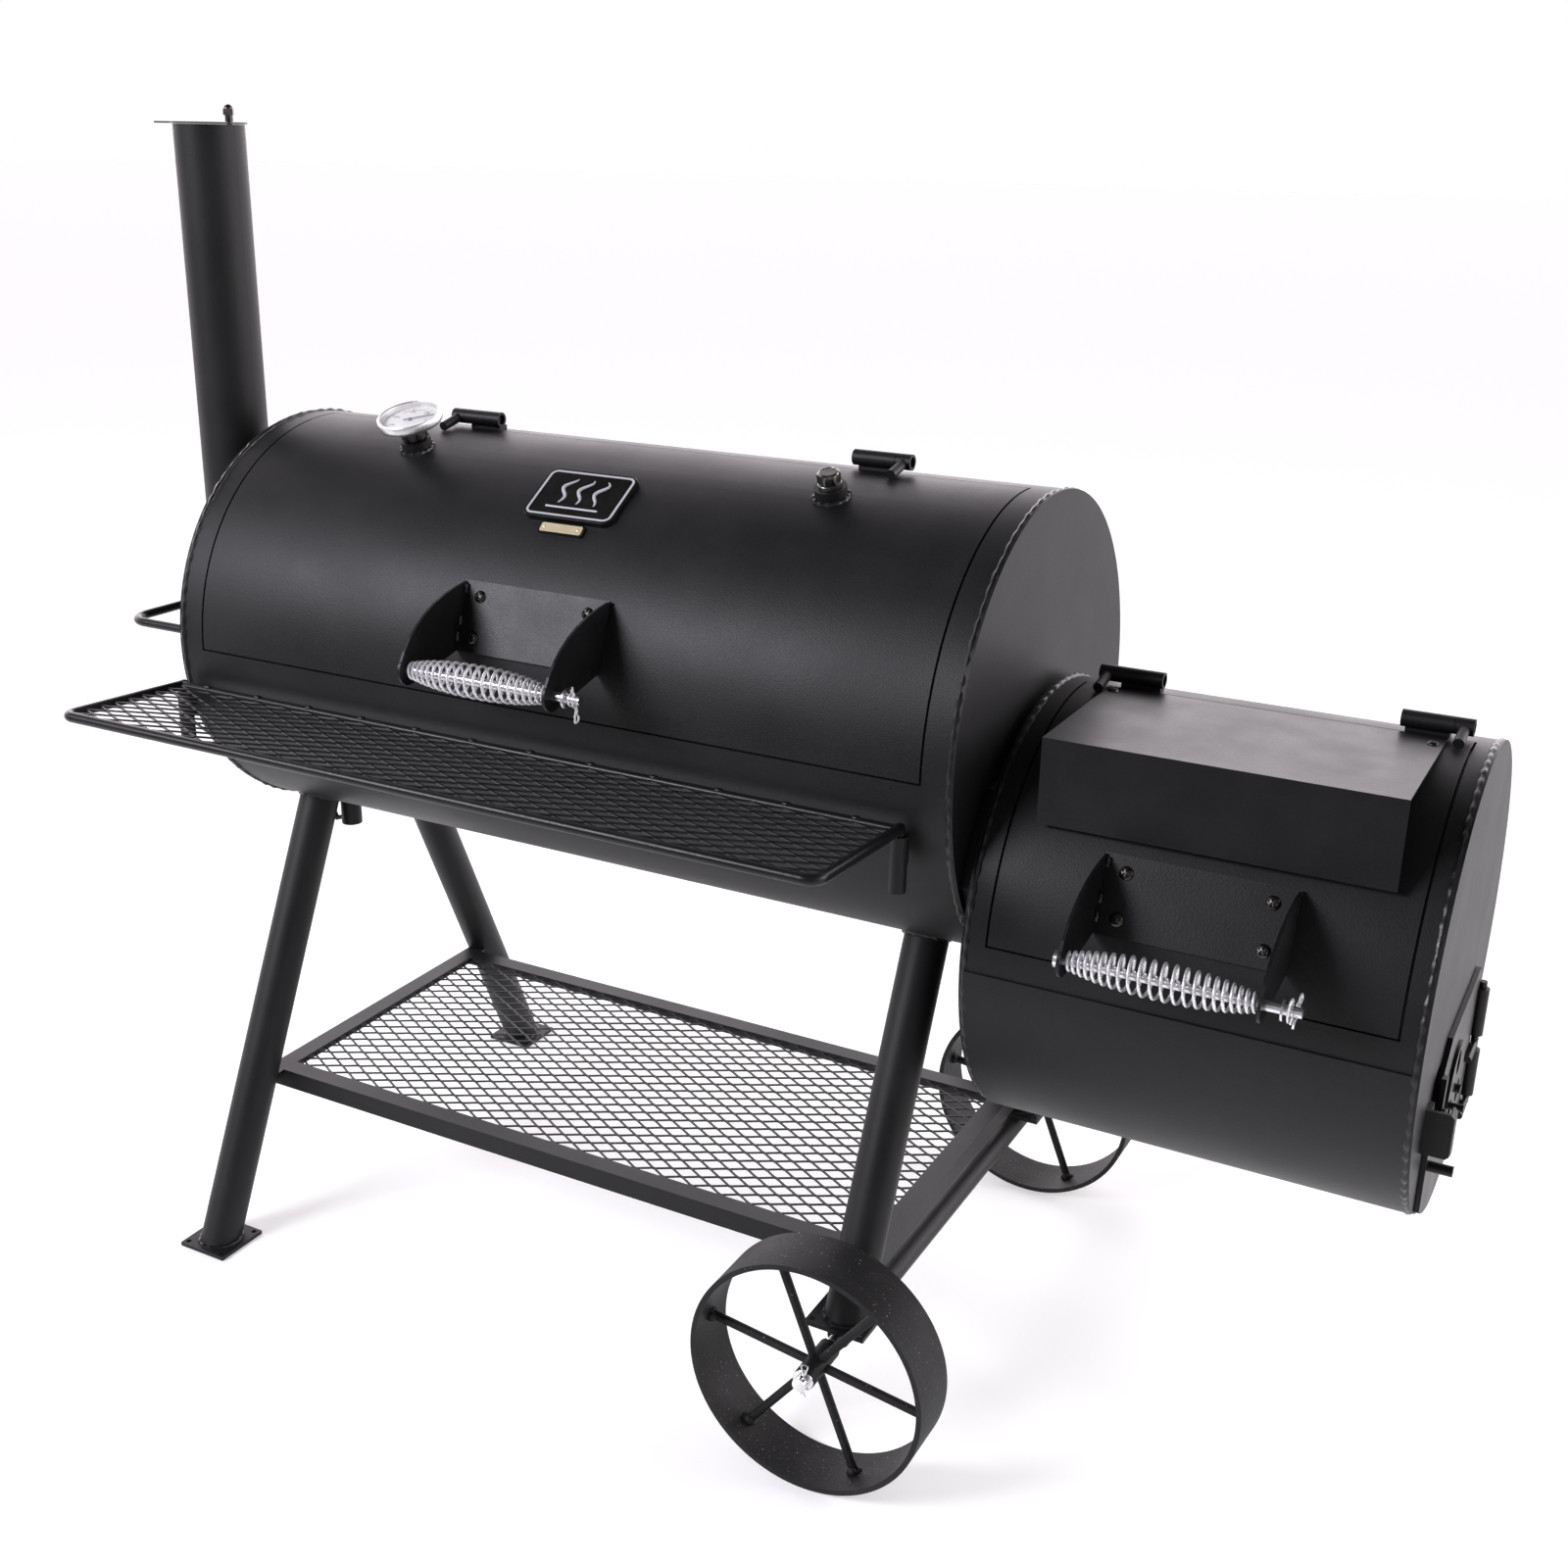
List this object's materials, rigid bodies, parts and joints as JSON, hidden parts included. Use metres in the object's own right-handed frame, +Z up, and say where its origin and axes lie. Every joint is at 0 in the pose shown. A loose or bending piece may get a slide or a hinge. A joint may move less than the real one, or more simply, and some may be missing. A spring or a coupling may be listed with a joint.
{
  "type": "offset smoker",
  "caption": "Offset charcoal smoker: lidded barrel, lower side firebox with its own lid and end door, chimney, mesh shelves, splayed legs and steel wheels.",
  "frame": {"origin": "middle of the footprint's bounding box, on the ground", "axes": "+X along the barrel towards the firebox, +Y away from the cook, +Z up"},
  "size_m": [1.7304, 0.8348, 1.4078],
  "materials": {
    "black_paint": "satin black high-temperature paint",
    "satin_bracket": "satin black powder coat",
    "wheel_paint": "dusty matt black paint",
    "expanded_mesh": "satin black",
    "grip_rod_zinc": "bright zinc",
    "spring_chrome": "bright nickel",
    "gauge_steel": "turned stainless",
    "gauge_face": "white printed dial",
    "gauge_pointer_black": "matt black",
    "plug_blackened": "blackened steel",
    "zinc_hardware": "zinc plated",
    "black_hardware": "black oxide",
    "badge_enamel": "black enamel with a light border",
    "grate_iron": "seasoned iron"
  },
  "bodies": {
    "chassis": {"barrel_shell": "black_paint", "barrel_left_cap": "black_paint", "barrel_right_cap": "black_paint", "lid_rest_strips": "black_paint", "throat_collar": "black_paint", "firebox_upper_shell": "black_paint", "firebox_lower_shell": "black_paint", "firebox_left_cap": "black_paint", "firebox_right_cap": "black_paint", "stack_pipe": "black_paint", "stack_damper_bolt": "black_hardware", "lid_hinge_tubes": "black_paint", "lid_hinge_pins": "black_hardware", "front_left_leg": "black_paint", "back_left_leg": "black_paint", "front_right_leg": "black_paint", "back_right_leg": "black_paint", "foot_plates": "black_paint", "axle_carrier": "black_paint", "axle": "zinc_hardware", "axle_clips": "zinc_hardware", "lower_shelf_frame": "black_paint", "lower_shelf_mesh": "expanded_mesh", "shelf_sleeves": "black_paint", "push_handle": "black_paint", "drain_nipple": "black_paint", "grate_ledges": "black_paint", "cooking_grate_1": "grate_iron", "cooking_grate_2": "grate_iron", "cooking_grate_3": "grate_iron", "charcoal_grate": "grate_iron", "door_hinge_tubes": "black_paint", "door_keeper": "black_paint"},
    "lid": {"main_lid": "black_paint", "main_lid_knuckles": "black_paint", "main_handle_bracket": "satin_bracket", "main_handle_rod": "grip_rod_zinc", "main_handle_spring": "spring_chrome", "main_handle_screws": "black_hardware", "thermometer_case": "gauge_steel", "thermometer_dial": "gauge_face", "port_boss": "black_paint", "port_plug": "plug_blackened", "lid_badge": "badge_enamel"},
    "gauge_hand": {"thermometer_pointer": "gauge_pointer_black"},
    "fire_lid": {"firebox_lid": "black_paint", "firebox_lid_knuckles": "black_paint", "firebox_handle_bracket": "satin_bracket", "firebox_handle_rod": "grip_rod_zinc", "firebox_handle_spring": "spring_chrome", "firebox_handle_screws": "black_hardware", "heat_shield": "satin_bracket"},
    "fire_door": {"firebox_door": "black_paint"},
    "air_damper": {"door_damper": "black_paint"},
    "door_bar": {"door_latch": "black_paint"},
    "chimney_damper": {"stack_damper": "black_paint"},
    "wheel_front": {"front_wheel": "wheel_paint"},
    "wheel_back": {"back_wheel": "wheel_paint"},
    "shelf": {"front_shelf": "black_paint", "front_shelf_mesh": "expanded_mesh"}
  },
  "joints": [
    {"name": "main_lid_hinge", "type": "hinge", "parent": "chassis", "child": "lid", "pos_m": [-0.13825, 0.04371, 1.04984], "axis": [-1, 0, 0], "range_deg": [0, 120]},
    {"name": "thermometer_needle", "type": "hinge", "parent": "lid", "child": "gauge_hand", "pos_m": [-0.40925, -0.06068, 1.05909], "axis": [0, -0.3256, 0.9455], "range_deg": [-250, 20]},
    {"name": "firebox_lid_hinge", "type": "hinge", "parent": "chassis", "child": "fire_lid", "pos_m": [0.60975, 0.05536, 0.84514], "axis": [-1, 0, 0], "range_deg": [0, 115]},
    {"name": "firebox_door_hinge", "type": "hinge", "parent": "chassis", "child": "fire_door", "pos_m": [0.84475, 0.17539, 0.455], "axis": [0, 0, 1], "range_deg": [0, 110]},
    {"name": "air_damper_turn", "type": "hinge", "parent": "fire_door", "child": "air_damper", "pos_m": [0.84225, 0.03439, 0.465], "axis": [1, 0, 0], "range_deg": [0, 60]},
    {"name": "door_latch_turn", "type": "hinge", "parent": "fire_door", "child": "door_bar", "pos_m": [0.84225, -0.08161, 0.494], "axis": [1, 0, 0], "range_deg": [0, 100]},
    {"name": "chimney_damper_turn", "type": "hinge", "parent": "chassis", "child": "chimney_damper", "pos_m": [-0.75025, 0.03439, 1.3855], "axis": [0, 0, 1], "range_deg": [0, 120]},
    {"name": "front_wheel_spin", "type": "hinge", "parent": "chassis", "child": "wheel_front", "pos_m": [0.28375, -0.30661, 0.138], "axis": [0, 1, 0], "continuous": true},
    {"name": "back_wheel_spin", "type": "hinge", "parent": "chassis", "child": "wheel_back", "pos_m": [0.28375, 0.37539, 0.138], "axis": [0, 1, 0], "continuous": true},
    {"name": "front_shelf_lift", "type": "slide", "parent": "chassis", "child": "shelf", "axis": [0, 0, 1], "range_m": [0, 0.06]}
  ]
}
